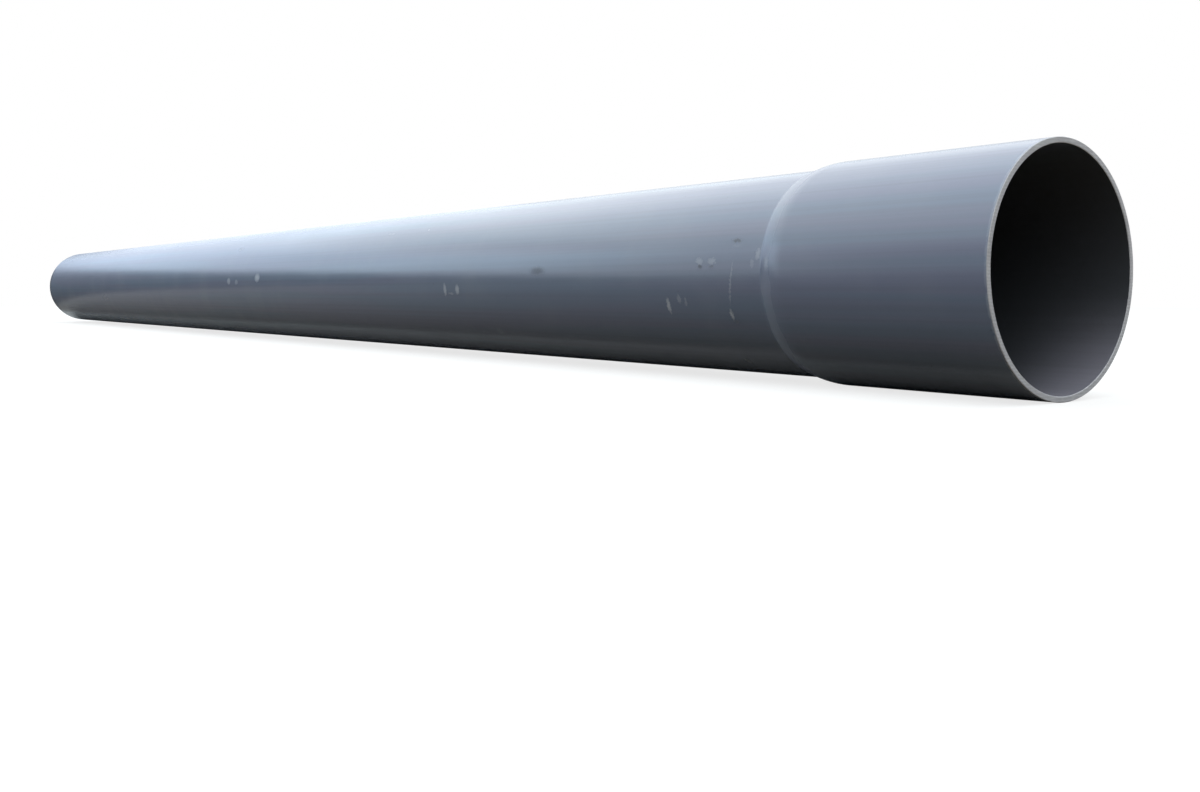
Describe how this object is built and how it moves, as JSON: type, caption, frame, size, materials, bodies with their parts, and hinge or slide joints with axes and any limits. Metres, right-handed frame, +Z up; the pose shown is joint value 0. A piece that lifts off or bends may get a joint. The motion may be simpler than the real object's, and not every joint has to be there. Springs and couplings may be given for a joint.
{
  "type": "pvc pipe",
  "caption": "Straight rigid grey PVC drain pipe with a plain belled socket on one end and a bevelled spigot on the other.",
  "frame": {"origin": "centre of the socket's mouth, on the pipe's axis", "axes": "+X along the axis out of the socket's mouth, +Z up as the pipe lies; the pipe runs towards -X"},
  "size_m": [2, 0.1314, 0.1318],
  "materials": {
    "grey_pvc": "extruded grey PVC, smooth, semi-gloss"
  },
  "bodies": {
    "root": {"pvc_pipe": "grey_pvc"}
  },
  "joints": []
}
